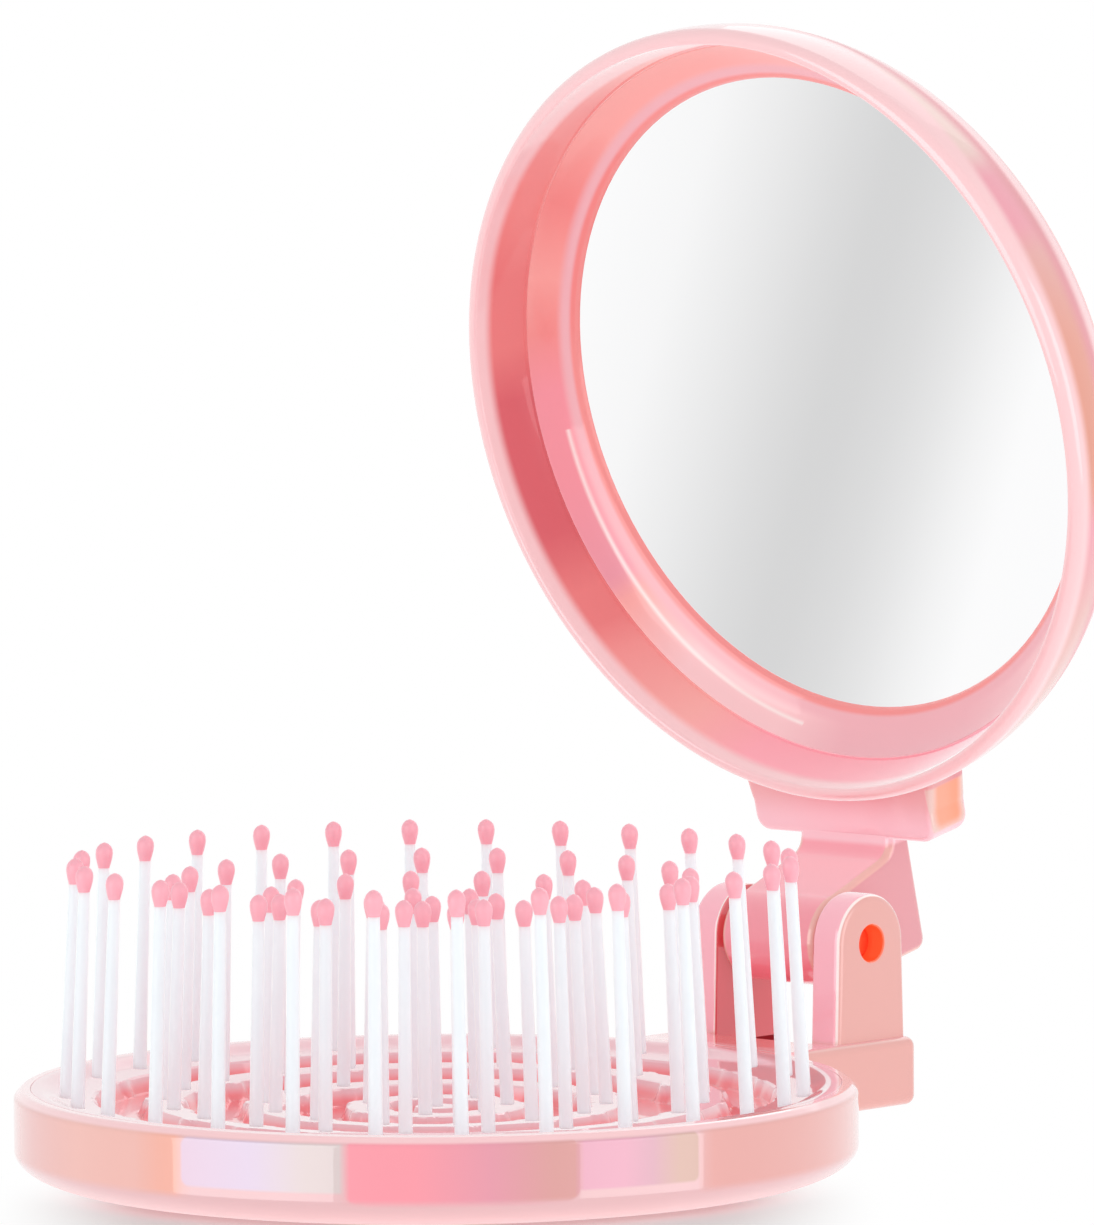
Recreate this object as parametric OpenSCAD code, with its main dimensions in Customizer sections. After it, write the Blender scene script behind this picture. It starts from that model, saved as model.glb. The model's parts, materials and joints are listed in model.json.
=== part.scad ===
// Folding hairbrush with a mirror in its lid.
// Millimetres, +Z up. The origin is the centre of the flat that the brush disc rests on.
// The hinge axis runs along X, behind the disc at +Y, and the lid stands open by lid_open degrees.

/* [Brush disc] */
// Diameter of the brush disc
disc_d = 65; // [64:0.5:68]
// Thickness of the brush disc
disc_t = 7; // [6.8:0.1:8]
// Diameter of the flat that the disc rests on
foot_d = 55; // [50:1:56]
// Height of the straight band round the disc
band_h = 4.1; // [3.5:0.1:4.3]
// Bevel on the disc's upper edge
disc_bevel = 0.6; // [0.3:0.1:0.8]
// Thickness of the disc's floor
floor_t = 1.3; // [1:0.1:1.5]

/* [Face plate] */
// Diameter of the face plate
plate_d = 62.3; // [61:0.1:62.6]
// Thickness of the face plate at its edge
plate_t = 4.3; // [4.2:0.1:4.4]
// Diameter of the dish, inside the plate's flat edge
dish_d = 59.4; // [59:0.1:60]
// Depth of the dish
dish_h = 1.2; // [0.5:0.1:1.4]
// Step down from the plate's edge into the dish
dish_step = 0.6; // [0.3:0.1:0.7]
// Depth of the grooves between the lands
groove_depth = 1.3; // [0.6:0.1:1.4]
// Width of the ring land that joins the feet of a ring of bristles
land_w = 3; // [2:0.1:4]
// Diameter of the round land at the foot of each bristle inside the rim
land_d = 3.8; // [3:0.1:4.4]
// Diameter of the round lands that stand out from the rim
rim_land_d = 5.2; // [4:0.1:5.6]

/* [Bristles] */
// Radius of the ring of bristles nearest the rim
rim_ring_r = 28; // [27.6:0.1:28.4]
// Distance from one ring of bristles to the next
ring_pitch = 7.5; // [7.2:0.1:7.8]
// Height of the outermost bristles above the face plate's edge, beads included
bristle_h = 17.7; // [12:0.1:18]
// How much lower the bristles end in the middle of the brush
tip_dip = 3.3; // [0:0.1:3.5]
// Diameter of a pin where it leaves the face plate
pin_d = 1.1; // [0.9:0.05:1.3]
// Diameter of a pin inside its bead
neck_d = 0.9; // [0.7:0.05:0.9]
// Diameter of a bead
bead_d = 1.32; // [1.1:0.02:1.8]
// Height of a bead
bead_h = 2.1; // [1.8:0.1:2.4]
// Diameter of the head at the foot of a pin
head_d = 2; // [1.6:0.1:2.4]
// Thickness of that head
head_t = 0.5; // [0.4:0.1:0.6]

/* [Hinge] */
// Distance of the hinge axis behind the disc's centre
axis_back = 42; // [41.5:0.1:44]
// Height of the hinge axis above the face plate's edge
axis_up = 7.8; // [7:0.1:9]
// Radius of the ears' round tops
ear_r = 3.95; // [3.8:0.05:4.2]
// Thickness of each ear
ear_t = 2.85; // [2:0.05:3.2]
// Width of the lid's knuckle, between the ears
knuckle_w = 10; // [8:0.1:11]
// Radius of the knuckle round the pin
knuckle_r = 3.75; // [3:0.05:3.8]
// Gap between the knuckle and each ear
side_play = 0.15; // [0.1:0.05:0.3]
// Diameter of the hinge pin
hinge_pin_d = 2.84; // [2:0.02:3.2]
// Length of the hinge pin
hinge_pin_l = 13.2; // [12.5:0.1:15]
// Height of the block that carries the ears
block_h = 5.5; // [4.5:0.1:6]

/* [Lid] */
// Angle that the lid stands open
lid_open = 76.6; // [0:0.1:180]
// Diameter of the lid
lid_d = 64; // [63:0.5:65]
// Depth of the lid
lid_t = 9.8; // [9.6:0.1:10.5]
// Distance from the hinge axis to the lid's centre
lid_reach = 41.4; // [41.2:0.1:42]
// Distance from the hinge axis to the plane of the lid's mouth
lid_rise = 5.9; // [5.5:0.1:6.5]
// Width of the block on the lid's rim
lid_block_w = 19; // [16:0.5:20]

/* [Mirror] */
// Diameter of the mirror
mirror_d = 53.4; // [53:0.1:53.4]
// Diameter of the mirror that the ring leaves open
mirror_open_d = 52.4; // [50:0.1:52.6]
// Thickness of the mirror
mirror_t = 0.8; // [0.6:0.1:0.8]
// Depth of the mirror's face below the lid's mouth
mirror_depth = 7.9; // [7.7:0.1:7.9]
// Diameter of the adhesive disc behind the mirror
tape_d = 50; // [30:1:52]
// Thickness of that disc
tape_t = 0.15; // [0.1:0.05:0.2]

/* [Hidden] */
$fn = 96;

pink = "#f3a9b3";
deep_pink = "#ee8c96";
white = "#f3f3f8";
silver = "#d8dadc";
grey = "#8a8a8a";

centre = 0;
inner = 1;
middle = 2;
outer = 3;
rim = 4;
// How many bristles each ring holds, and the angle of its first one
ring_count = [1, 7, 14, 21, 28];
ring_start = [0, 48, 13, 16, 9];

past = 1;
disc_r = disc_d / 2;
foot_r = foot_d / 2;
band_z = disc_t - disc_bevel - band_h;
plate_r = plate_d / 2;
plate_play = 0.05;
plate_z = disc_t - plate_t;
dish_r = dish_d / 2;
dish_z = disc_t - dish_step - dish_h;
dish_ball_r = (dish_r * dish_r + dish_h * dish_h) / (2 * dish_h);
dish_angle = asin(dish_r / dish_ball_r);
dish_steps = 8;
ledge_r = plate_r - 0.8;
floor_r = foot_r - 1;
floor_round = 0.4;
hole_play = 0.05;

head_z = plate_z - head_t;
retainer_t = 0.7;
retainer_z = head_z - retainer_t;
retainer_r = ledge_r - floor_round - 0.1;
neck_r = neck_d / 2;
socket_h = bead_h - 0.5;
bead_belly = 0.62;

rib_t = 1.2;
rib_rings = [10, 20];
rib_spokes = 6;

axis_z = disc_t + axis_up;
slot_w = knuckle_w + 2 * side_play;
hinge_w = slot_w + 2 * ear_t;
block_w = hinge_w + 1.6;
block_back = axis_back + ear_r + 0.75;
block_front = disc_r - 6;
slot_front = axis_back - knuckle_r - 0.35;
ear_round = 1;
block_round = 0.8;
ear_bore_r = hinge_pin_d / 2 + 0.03;
knuckle_bore_r = hinge_pin_d / 2 + 0.05;
pin_chamfer = 0.25;

lid_r = lid_d / 2;
crown_r = 5.8;
lip_round = 0.9;
lip_inner_round = 0.3;
mouth_r = lid_r - lip_round - lip_inner_round;
ring_r = lid_r - 2.3;
ring_top = 5;
ring_shoulder = 6.5;
ring_foot_r = lid_r - 4;
back_face = mirror_depth + mirror_t + tape_t;
mirror_r = mirror_d / 2;
mirror_open_r = mirror_open_d / 2;
mirror_play = 0.05;
lid_block_low = lid_rise + 1.6;
lid_block_high = lid_rise + 6.7;
lid_block_end = -6;
lid_block_round = 1.3;
lid_block_lip = 0.5;
lid_block_heel = 2.6;
web_top = 9.8;
web_round = 1;
web_edge = 0.9;

// Points of a round stretch about c
function arc(c, r, from, to, n = 6) =
    [for (i = [0:n]) let (a = from + (to - from) * i / n) c + r * [cos(a), sin(a)]];

// Points of a quarter of an ellipse about c, from its side to its far end
function quarter_ellipse(c, rx, ry, n = 12) =
    [for (i = [0:n]) let (a = 90 * i / n) c + [rx * cos(a), ry * sin(a)]];

// Distance of a ring of bristles from the centre
function ring_r(ring) = ring == centre ? 0 : rim_ring_r - (rim - ring) * ring_pitch;

// Height of the underside of a ring's beads
function bead_z(ring) =
    disc_t + bristle_h - bead_h - tip_dip * (1 - pow(ring_r(ring) / rim_ring_r, 2));

// Points of a curve from p to q that is drawn towards c
function bend(p, c, q, n = 8) =
    [for (i = [0:n]) let (t = i / n) (1 - t) * (1 - t) * p + 2 * t * (1 - t) * c + t * t * q];

// Outline from y0 to y1, w wide, with the two corners at y1 rounded
function blunt_outline(w, y0, y1, r) = concat(
    [[-w / 2, y0], [w / 2, y0]],
    arc([w / 2 - r, y1 - r], r, 0, 90),
    arc([r - w / 2, y1 - r], r, 90, 180));

// Places its child at every bristle of a ring
module each_bristle(ring) {
    for (i = [0:ring_count[ring] - 1])
        rotate([0, 0, ring_start[ring] + 360 * i / ring_count[ring]])
            translate([ring_r(ring), 0, 0])
                children();
}

// Turns an outline in X and Y into a slab that lies across the hinge, w wide along X,
// with the outline's X along Y and its Y along Z
module across(w) {
    translate([-w / 2, 0, 0])
        rotate([90, 0, 90])
            linear_extrude(height = w)
                children();
}

// ---- Brush half ----

module disc_body() {
    rotate_extrude()
        polygon(concat(
            [[0, disc_t], [0, 0]],
            [for (p = quarter_ellipse([0, 0], band_z, disc_r - foot_r)) [foot_r + p[1], band_z - p[0]]],
            [[disc_r, disc_t - disc_bevel], [disc_r - disc_bevel, disc_t]]));
}

module disc_hollow() {
    rotate_extrude()
        polygon([
            [0, floor_t], [ledge_r - floor_round, floor_t], [ledge_r, floor_t + floor_round],
            [ledge_r, plate_z],
            [plate_r + plate_play, plate_z], [plate_r + plate_play, disc_t + past], [0, disc_t + past]]);
}

// Ribs on the floor that carry the retainer
module floor_ribs() {
    rib_h = retainer_z - floor_t / 2;
    translate([0, 0, floor_t / 2]) {
        for (r = rib_rings)
            difference() {
                cylinder(h = rib_h, r = r + rib_t / 2);
                translate([0, 0, -past])
                    cylinder(h = rib_h + 2 * past, r = r - rib_t / 2);
            }
        for (i = [0:rib_spokes - 1])
            rotate([0, 0, 360 * i / rib_spokes])
                translate([rib_rings[0], -rib_t / 2, 0])
                    cube([floor_r - rib_rings[0], rib_t, rib_h]);
    }
}

// Block behind the disc that carries the ears
module hinge_block() {
    intersection() {
        translate([0, 0, disc_t - block_h])
            linear_extrude(height = block_h)
                polygon(blunt_outline(block_w, block_front, block_back, block_round));
        across(block_w)
            polygon(concat(
                [[block_front, disc_t], [block_front, disc_t - block_h]],
                arc([block_back - block_round, disc_t - block_h + block_round], block_round, 270, 360),
                arc([block_back - block_round, disc_t - block_round], block_round, 0, 90)));
    }
}

// An upright ear with a round top, its inner face at x = 0
module ear() {
    half_section = concat(
        [[0, ear_t], [0, 0], [ear_r, 0]],
        arc([ear_r - ear_round, ear_t - ear_round], ear_round, 0, 90));
    rotate([90, 0, 90])
        rotate_extrude(angle = 180)
            polygon(half_section);
    rotate([0, 180, 0])
        mirror([1, 0, 0])
            linear_extrude(height = axis_up + block_h / 2)
                polygon(concat(
                    [[0, -ear_r]],
                    arc([ear_t - ear_round, ear_round - ear_r], ear_round, 270, 360),
                    arc([ear_t - ear_round, ear_r - ear_round], ear_round, 0, 90),
                    [[0, ear_r]]));
}

module brush_shell() {
    color(pink) {
        difference() {
            union() {
                disc_body();
                hinge_block();
                for (side = [0, 1])
                    mirror([side, 0, 0])
                        translate([slot_w / 2, axis_back, axis_z])
                            ear();
            }
            disc_hollow();
            translate([-slot_w / 2, slot_front, -past])
                cube([slot_w, 3 * ear_r, axis_z]);
            translate([-hinge_w, axis_back, axis_z])
                rotate([0, 90, 0])
                    cylinder(h = 2 * hinge_w, r = ear_bore_r);
        }
        floor_ribs();
    }
}

// The plate with its dish, its top lowered by drop
module dished_plate(drop) {
    rotate_extrude()
        polygon(concat(
            [[0, plate_z], [plate_r, plate_z], [plate_r, disc_t - drop], [dish_r, disc_t - drop]],
            arc([0, dish_z + dish_ball_r - drop], dish_ball_r, 270 + dish_angle, 270, dish_steps)));
}

// Where the dish is grooved: all but the ring lands and a round land at each bristle
module groove_outlines() {
    difference() {
        circle(r = dish_r);
        for (ring = [inner:outer])
            difference() {
                circle(r = ring_r(ring) + land_w / 2);
                circle(r = ring_r(ring) - land_w / 2);
            }
        for (ring = [centre:outer])
            each_bristle(ring)
                circle(d = land_d, $fn = 32);
        each_bristle(rim)
            circle(d = rim_land_d, $fn = 32);
    }
}

module face_plate() {
    color(deep_pink)
        difference() {
            dished_plate(0);
            difference() {
                translate([0, 0, plate_z])
                    linear_extrude(height = disc_t)
                        groove_outlines();
                dished_plate(groove_depth);
            }
            for (ring = [centre:rim])
                each_bristle(ring)
                    translate([0, 0, plate_z - past])
                        cylinder(h = plate_t + 2 * past, d = pin_d + 2 * hole_play, $fn = 24);
        }
}

module bristle_retainer() {
    color(grey)
        translate([0, 0, retainer_z])
            cylinder(h = retainer_t, r = retainer_r);
}

// Pins with a flat head, a long taper and a straight neck for the bead
module pins(ring) {
    color(white)
        each_bristle(ring)
            rotate_extrude($fn = 24)
                polygon([
                    [0, head_z], [head_d / 2, head_z], [head_d / 2, plate_z], [pin_d / 2, plate_z],
                    [pin_d / 2, disc_t], [neck_r, bead_z(ring)], [neck_r, bead_z(ring) + socket_h],
                    [0, bead_z(ring) + socket_h]]);
}

// Drop-shaped beads, each with a socket for the neck of its pin
module beads(ring) {
    belly_z = bead_belly * bead_h;
    skirt = 0.05;
    color(deep_pink)
        each_bristle(ring)
            translate([0, 0, bead_z(ring)])
                rotate_extrude($fn = 24)
                    polygon(concat(
                        [[0, socket_h], [neck_r, socket_h], [neck_r, 0], [neck_r + skirt, 0]],
                        bend([neck_r + skirt, 0], [bead_d / 2, belly_z / 3], [bead_d / 2, belly_z], 4),
                        [for (a = [18:18:90])
                            [bead_d / 2 * cos(a), belly_z + (bead_h - belly_z) * sin(a)]]));
}

module hinge_pin() {
    pin_r = hinge_pin_d / 2;
    half = hinge_pin_l / 2;
    color(deep_pink)
        translate([0, axis_back, axis_z])
            rotate([0, 90, 0])
                rotate_extrude()
                    polygon([
                        [0, -half], [pin_r - pin_chamfer, -half], [pin_r, pin_chamfer - half],
                        [pin_r, half - pin_chamfer], [pin_r - pin_chamfer, half], [0, half]]);
}

// ---- Lid half ----

// Frame on the hinge axis in which the closed lid points to -Y and its back faces +Z
module on_hinge() {
    translate([0, axis_back, axis_z])
        rotate([-lid_open, 0, 0])
            children();
}

// Frame at the centre of the lid's mouth, with +Z going into the lid
module in_lid() {
    on_hinge()
        translate([0, -lid_reach, lid_rise])
            children();
}

module lid_cup() {
    rotate_extrude()
        polygon(concat(
            [[0, 0]],
            arc([lid_r - lip_round, lip_round], lip_round, 270, 360),
            quarter_ellipse([lid_r - crown_r, lip_round], crown_r, lid_t - lip_round),
            [[0, lid_t]]));
}

module lid_hollow() {
    rotate_extrude()
        polygon(concat(
            [[0, -past], [mouth_r + lip_inner_round, -past]],
            arc([mouth_r + lip_inner_round, lip_inner_round], lip_inner_round, 270, 180),
            bend([mouth_r, lip_inner_round], [mouth_r - 0.3, 3], [ring_r + 0.2, ring_top]),
            [[ring_r, ring_top], [ring_r, ring_shoulder], [ring_foot_r, back_face], [0, back_face]]));
}

module lid_block() {
    root = lid_block_end - 8;
    intersection() {
        translate([0, 0, lid_block_low])
            linear_extrude(height = lid_block_high - lid_block_low)
                polygon(blunt_outline(lid_block_w, root, lid_block_end, lid_block_round));
        across(lid_block_w)
            polygon(concat(
                [[root, lid_block_high], [root, lid_block_low]],
                arc([lid_block_end - lid_block_lip, lid_block_low + lid_block_lip],
                    lid_block_lip, 270, 360),
                arc([lid_block_end - lid_block_heel, lid_block_high - lid_block_heel],
                    lid_block_heel, 0, 90)));
    }
}

// Knuckle that turns between the ears: a barrel, and a web that joins it to the lid's block
module knuckle() {
    barrel_round = 0.5;
    half = knuckle_w / 2;
    rotate([90, 0, 90])
        rotate([0, 0, 180])
            rotate_extrude(angle = 180)
                polygon(concat(
                    [[0, half], [0, -half]],
                    arc([knuckle_r - barrel_round, barrel_round - half], barrel_round, 270, 360),
                    arc([knuckle_r - barrel_round, half - barrel_round], barrel_round, 0, 90)));
    intersection() {
        across(knuckle_w)
            polygon(concat(
                [[knuckle_r, 0]],
                arc([knuckle_r - web_round, web_top - web_round], web_round, 0, 90),
                [[lid_block_end - past, web_top], [lid_block_end - past, lid_block_low]],
                bend([lid_block_end, lid_block_low], [-4.9, lid_block_low], [-4.75, 6]),
                [[-knuckle_r - 0.4, 2.5], [-knuckle_r, 0]]));
        linear_extrude(height = web_top)
            polygon(blunt_outline(knuckle_w, lid_block_end - past, knuckle_r, web_edge));
        translate([0, knuckle_r, 0])
            rotate([90, 0, 0])
                linear_extrude(height = knuckle_r - lid_block_end + past)
                    polygon(blunt_outline(knuckle_w, 0, web_top, web_edge));
    }
}

module lid_shell() {
    color(pink)
        difference() {
            union() {
                in_lid()
                    lid_cup();
                on_hinge() {
                    lid_block();
                    knuckle();
                }
            }
            in_lid()
                lid_hollow();
            on_hinge()
                translate([-knuckle_w, 0, 0])
                    rotate([0, 90, 0])
                        cylinder(h = 2 * knuckle_w, r = knuckle_bore_r);
        }
}

module mirror_ring() {
    color(pink)
        in_lid()
            rotate_extrude()
                polygon(concat(
                    [[mirror_r + mirror_play, mirror_depth], [mirror_open_r, mirror_depth],
                        [mirror_open_r + 0.15, mirror_depth - 0.45]],
                    bend([mirror_open_r + 0.3, mirror_depth - 0.6], [ring_r - 1.1, 6.5], [ring_r, ring_top]),
                    [[ring_r, ring_shoulder], [ring_foot_r, back_face],
                        [mirror_r + mirror_play, back_face]]));
}

module mirror_glass() {
    color(silver)
        in_lid()
            translate([0, 0, mirror_depth])
                cylinder(h = mirror_t, r = mirror_r);
}

module mirror_tape() {
    color(grey)
        in_lid()
            translate([0, 0, mirror_depth + mirror_t])
                cylinder(h = tape_t, d = tape_d);
}

brush_shell();
face_plate();
bristle_retainer();
pins(centre);  // pins_centre
pins(inner);  // pins_inner
pins(middle);  // pins_middle
pins(outer);  // pins_outer
pins(rim);  // pins_rim
beads(centre);  // beads_centre
beads(inner);  // beads_inner
beads(middle);  // beads_middle
beads(outer);  // beads_outer
beads(rim);  // beads_rim
hinge_pin();
lid_shell();
mirror_ring();
mirror_glass();  // mirror
mirror_tape();
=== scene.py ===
import json
import math
import random

import bmesh
import bpy
from mathutils import Matrix, Vector

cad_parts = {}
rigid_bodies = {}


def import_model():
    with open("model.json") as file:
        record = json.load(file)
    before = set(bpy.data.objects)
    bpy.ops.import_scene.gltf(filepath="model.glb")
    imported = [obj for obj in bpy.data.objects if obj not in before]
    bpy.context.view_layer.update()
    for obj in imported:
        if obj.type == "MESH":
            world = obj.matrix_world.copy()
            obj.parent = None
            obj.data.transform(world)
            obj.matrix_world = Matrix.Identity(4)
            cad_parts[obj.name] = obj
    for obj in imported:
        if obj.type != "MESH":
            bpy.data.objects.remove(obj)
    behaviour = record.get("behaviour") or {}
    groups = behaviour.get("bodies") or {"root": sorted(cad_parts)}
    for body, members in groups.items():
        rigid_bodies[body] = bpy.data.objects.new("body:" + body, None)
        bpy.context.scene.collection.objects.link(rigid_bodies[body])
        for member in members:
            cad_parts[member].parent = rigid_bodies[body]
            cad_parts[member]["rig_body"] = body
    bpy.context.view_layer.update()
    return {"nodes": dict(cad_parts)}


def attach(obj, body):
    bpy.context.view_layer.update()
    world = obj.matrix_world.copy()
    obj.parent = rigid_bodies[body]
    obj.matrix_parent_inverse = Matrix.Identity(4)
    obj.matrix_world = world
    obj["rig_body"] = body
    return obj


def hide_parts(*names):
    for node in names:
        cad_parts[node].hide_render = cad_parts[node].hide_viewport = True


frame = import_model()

MM = 0.001

# ------------------------------------------------------------------ camera

# The picture in pixels, with the focal length in the same pixels, and the sensor in millimetres.
IMAGE_W, IMAGE_H = 1094, 1225
FOCAL_PX = 8663.0
SENSOR = 36.0
# Nearest and farthest that it sees, in metres.
CLIP_NEAR, CLIP_FAR = 0.02, 50

CAMERA_TURN = math.radians(43.042)
CAMERA_RISE = math.radians(4.063)
CAMERA_ROLL = math.radians(-0.365)
CAMERA_DISTANCE = 666.7 * MM
CAMERA_AIM = Vector((0, 0, 7.0)) * MM
CAMERA_RIGHT = 8.517 * MM
CAMERA_UP = 36.19 * MM

VIEW_BACK = Vector((
    math.sin(CAMERA_TURN) * math.cos(CAMERA_RISE),
    -math.cos(CAMERA_TURN) * math.cos(CAMERA_RISE),
    math.sin(CAMERA_RISE),
))
VIEW_RIGHT = Vector((math.cos(CAMERA_TURN), math.sin(CAMERA_TURN), 0))


def place_camera():
    """The camera of the main picture, a long lens a little above the brush disc."""
    up = VIEW_BACK.cross(VIEW_RIGHT)
    right = math.cos(CAMERA_ROLL) * VIEW_RIGHT + math.sin(CAMERA_ROLL) * up
    up = VIEW_BACK.cross(right)
    data = bpy.data.cameras.new("camera")
    data.sensor_width = SENSOR
    data.lens = SENSOR * FOCAL_PX / max(IMAGE_W, IMAGE_H)
    data.clip_start, data.clip_end = CLIP_NEAR, CLIP_FAR
    camera = bpy.data.objects.new("camera", data)
    bpy.context.scene.collection.objects.link(camera)
    spot = CAMERA_AIM + VIEW_BACK * CAMERA_DISTANCE + right * CAMERA_RIGHT + up * CAMERA_UP
    turn = Matrix((right, up, VIEW_BACK)).transposed().to_4x4()
    camera.matrix_world = Matrix.Translation(spot) @ turn
    bpy.context.scene.camera = camera


# ------------------------------------------------------- node trees as sums


class Field:
    """A socket of a node tree. Sums of fields are written as Python expressions."""

    def __init__(self, graph, socket):
        self.graph = graph
        self.socket = socket

    def maths(self, operation, *others):
        return self.graph.node("ShaderNodeMath", {"operation": operation},
                               dict(enumerate((self, *others))))

    def __add__(self, other):
        return self.maths("ADD", other)

    def __sub__(self, other):
        return self.maths("SUBTRACT", other)

    def __mul__(self, other):
        return self.maths("MULTIPLY", other)

    def __truediv__(self, other):
        return self.maths("DIVIDE", other)

    def __radd__(self, other):
        return self + other

    def __rmul__(self, other):
        return self * other

    def __rsub__(self, other):
        return self * -1 + other

    def part(self, low, high):
        """0 below low, 1 above high, and a smooth step between them."""
        return self.graph.node("ShaderNodeMapRange", {"interpolation_type": "SMOOTHSTEP"},
                               {"Value": self, "From Min": low, "From Max": high})


class Graph:
    """A node tree that is filled through one method."""

    def __init__(self, owner):
        owner.use_nodes = True
        self.tree = owner.node_tree
        self.tree.nodes.clear()

    def node(self, kind, settings=None, inputs=None, output=0):
        made = self.tree.nodes.new(kind)
        for name, value in (settings or {}).items():
            if name == "stops":
                self.fill_ramp(made.color_ramp, value)
            else:
                setattr(made, name, value)
        for name, value in (inputs or {}).items():
            if isinstance(value, Field):
                self.tree.links.new(value.socket, made.inputs[name])
            else:
                made.inputs[name].default_value = value
        return Field(self, made.outputs[output]) if made.outputs else made

    @staticmethod
    def fill_ramp(ramp, stops):
        while len(ramp.elements) > 1:
            ramp.elements.remove(ramp.elements[-1])
        ramp.elements[0].position = stops[0][0]
        ramp.elements[0].color = (*stops[0][1], 1)
        for place, colour in stops[1:]:
            ramp.elements.new(place).color = (*colour, 1)

    def mix(self, share, a, b):
        """Colour a where share is 0, and b where it is 1."""
        return self.node("ShaderNodeMix", {"data_type": "RGBA"},
                         {"Factor": share, 6: a, 7: b}, output=2)

    def noise(self, place, scale, detail=2.0):
        return self.node("ShaderNodeTexNoise", {},
                         {"Vector": place, "Scale": scale, "Detail": detail})

    def place(self):
        """Where the point lies in its piece's own frame, in metres."""
        return self.node("ShaderNodeTexCoord", output="Object")

    def dot(self, place, way):
        """How far a place lies along a fixed way."""
        return self.node("ShaderNodeVectorMath", {"operation": "DOT_PRODUCT"},
                         {0: place, 1: tuple(way)}, output="Value")

    def lean(self):
        """How far the surface faces +X, the right end of the hinge: 1 when it faces it squarely."""
        return self.dot(self.node("ShaderNodeNewGeometry", output="Normal"), (1, 0, 0))

    def axis(self, place, name):
        return self.node("ShaderNodeSeparateXYZ", {}, {"Vector": place}, output=name)

    def degrees_round(self, along, across, start):
        """Degrees round an axis, 0 to 360 from start. along grows at 0 degrees."""
        turn = across.maths("ARCTAN2", along) / math.tau
        return (turn + (1 - start / 360)).maths("FRACT") * 360

    def tints_round(self, along, across, tints, start):
        """A ramp of tints round an axis."""
        return self.node("ShaderNodeValToRGB", {"stops": round_stops(tints)},
                         {"Fac": self.degrees_round(along, across, start) / 360})

    def patch(self, along, up, box, corner, soft=0.15):
        """1 inside a box (from, to, low, high) with rounded corners, 0 outside it."""
        first, last, low, high = box
        wide = (along - (first + last) / 2).maths("ABSOLUTE") - ((last - first) / 2 - corner)
        tall = (up - (low + high) / 2).maths("ABSOLUTE") - ((high - low) / 2 - corner)
        wide, tall = wide.maths("MAXIMUM", 0.0), tall.maths("MAXIMUM", 0.0)
        reach = (wide * wide + tall * tall).maths("SQRT")
        return 1 - reach.part(corner - soft, corner + soft)

    def close(self, kind, shader):
        self.node(kind, {}, {"Surface": shader})


def colour(red, green, blue):
    """A display colour, 0 to 255, as the linear numbers that a socket holds."""
    def line(value):
        value /= 255
        return value / 12.92 if value <= 0.04045 else ((value + 0.055) / 1.055) ** 2.4
    return line(red), line(green), line(blue)


def rgba(tint):
    return (*tint, 1)


# ------------------------------------------------------- sizes and places

# Places and sizes are in millimetres, R for a radius and T for a thickness.

# The brush's disc, the seat of its plate and the well under it.
DISC_R, DISC_T, FOOT_R = 32.5, 7.0, 27.5
BAND_LOW, BAND_HIGH = 2.3, 6.4
DISC_ROUND, DISC_DRAFT = 0.5, 0.6
SEAT_R, SEAT_Z, SEAT_EDGE = 31.2, 2.7, 0.05
WELL_R, WELL_Z, WELL_EDGE = 30.35, 1.3, 0.4

# The hinge block on the disc, the slot in it, and its two ears.
BLOCK_ROOT_R, BLOCK_ROOT_TURN = 31.35, 16.3
BLOCK_HALF, BLOCK_BACK, BLOCK_LOW = 8.8, 46.7, 1.5
BLOCK_CORNER, BLOCK_EDGE = 0.85, 0.8
SLOT_FRONT, SLOT_CORNER = 37.9, 0.3
EAR_IN, EAR_OUT, EAR_R = 5.15, 8.0, 3.95
EAR_FOOT, EAR_DRAFT = -10.0, 0.3
EAR_EDGE_IN, EAR_EDGE_OUT = 0.25, 0.6
EAR_BORE_R = 1.45
AXIS_Y, AXIS_Z = 42.0, 14.8

# The lid's cup: rounds of its back and its lip, its wall, the step on it and its floor.
LID_TURN = math.radians(-76.6)
LID_REACH, LID_RISE = 41.4, 5.9
LID_R, LID_T = 32.0, 9.8
BACK_ROUND, LIP_OUT, LIP_IN = 5.8, 0.9, 0.3
MOUTH_R, WALL_PULL, WALL_END = 30.8, (30.5, 3.0), (29.9, 5.0)
STEP_R, STEP_END = 29.7, 6.5
FLOOR_R, FLOOR_Z = 28.0, 8.85

# The lid's block and knuckle, about the hinge axis: Y away from the disc, Z up when closed.
LUG_HALF, LUG_ROOT_HALF = 9.5, 10.3
LUG_ROOT_Y, LUG_WAIST_Y, LUG_END_Y = -10.6, -8.6, -6.0
LUG_LOW, LUG_HIGH = 7.5, 12.6
LUG_EDGE_LOW, LUG_EDGE_HIGH = 0.5, 1.25
LUG_WAIST_ROUND, LUG_END_ROUND = 1.5, 1.3
WALL_JOIN_Y, WALL_JOIN_R, WALL_JOIN_DRAFT = -9.3, 31.3, 0.2
KNUCKLE_R, KNUCKLE_HALF = 3.75, 5.0
KNUCKLE_EDGE, KNUCKLE_BORE_R = 0.7, 1.47
WEB_END_Y, WEB_LOW, WEB_HIGH, WEB_ROUND = -8.6, 7.54, 9.8, 1.0
ON_HINGE = Matrix.Translation((0, AXIS_Y, AXIS_Z)) @ Matrix.Rotation(LID_TURN, 4, "X")
IN_LID = ON_HINGE @ Matrix.Translation((0, -LID_REACH, LID_RISE))
ACROSS = Matrix(((0, 0, 1), (1, 0, 0), (0, 1, 0))).to_4x4()

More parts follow.
